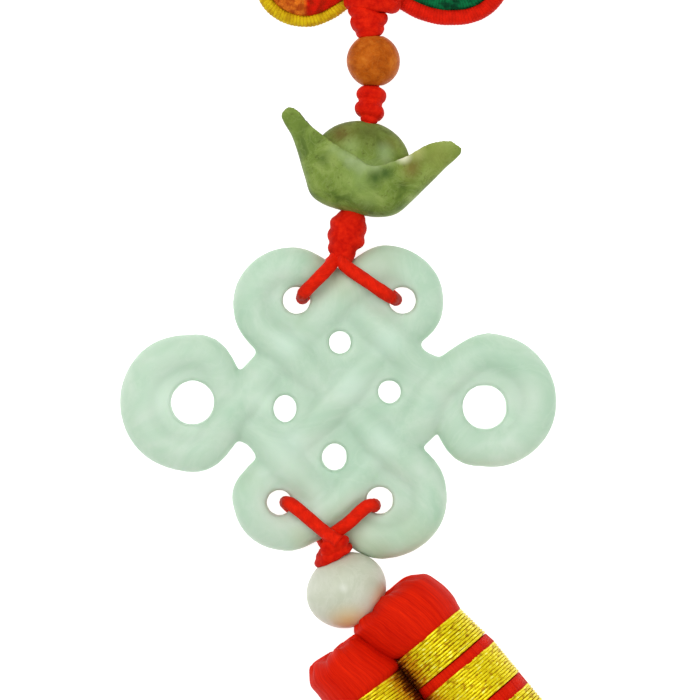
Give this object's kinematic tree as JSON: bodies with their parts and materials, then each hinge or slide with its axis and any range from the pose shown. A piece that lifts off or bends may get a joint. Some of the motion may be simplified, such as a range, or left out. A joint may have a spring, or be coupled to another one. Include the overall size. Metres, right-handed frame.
{
  "type": "jade knot pendant",
  "caption": "Carved jade endless-knot hanging pendant with beads, knotted red cord, cord ears, a hanging loop and gold-wound silk tassels.",
  "frame": {"origin": "middle of the base of the pendant laid on its back, without its hanging loop", "axes": "+Y towards the hanging loop, +X to the right seen from the front, +Z out of the front"},
  "size_m": [0.0904, 0.1973, 0.0109],
  "materials": {
    "jade": "polished pale green jade",
    "orange_stone": "polished orange stone",
    "green_stone": "polished mottled green stone",
    "white_stone": "polished greyish white stone",
    "red_cord": "braided satin cord",
    "yellow_cord": "thread-wrapped cord",
    "orange_cord": "thread-wrapped cord",
    "green_cord": "thread-wrapped cord",
    "silk": "loose silk strands",
    "gold_thread": "wound metallic thread"
  },
  "bodies": {
    "root": {"jade_knot": "jade", "orange_bead": "orange_stone", "ingot_bead": "green_stone", "white_bead": "white_stone", "top_knot": "red_cord", "left_ear_outer": "yellow_cord", "left_ear_inner": "orange_cord", "right_ear_outer": "red_cord", "right_ear_inner": "green_cord", "hanging_loop": "red_cord", "upper_knot": "red_cord", "bead_knot": "red_cord", "sling_knot": "red_cord", "main_cord": "red_cord", "upper_sling_left": "red_cord", "upper_sling_right": "red_cord", "lower_sling_left": "red_cord", "lower_sling_right": "red_cord", "lower_knot": "red_cord", "bead_cord": "red_cord", "left_tassel": "silk", "right_tassel": "silk", "left_band_1": "gold_thread", "left_band_2": "gold_thread", "left_band_3": "gold_thread", "right_band_1": "gold_thread", "right_band_2": "gold_thread", "right_band_3": "gold_thread"}
  },
  "joints": []
}
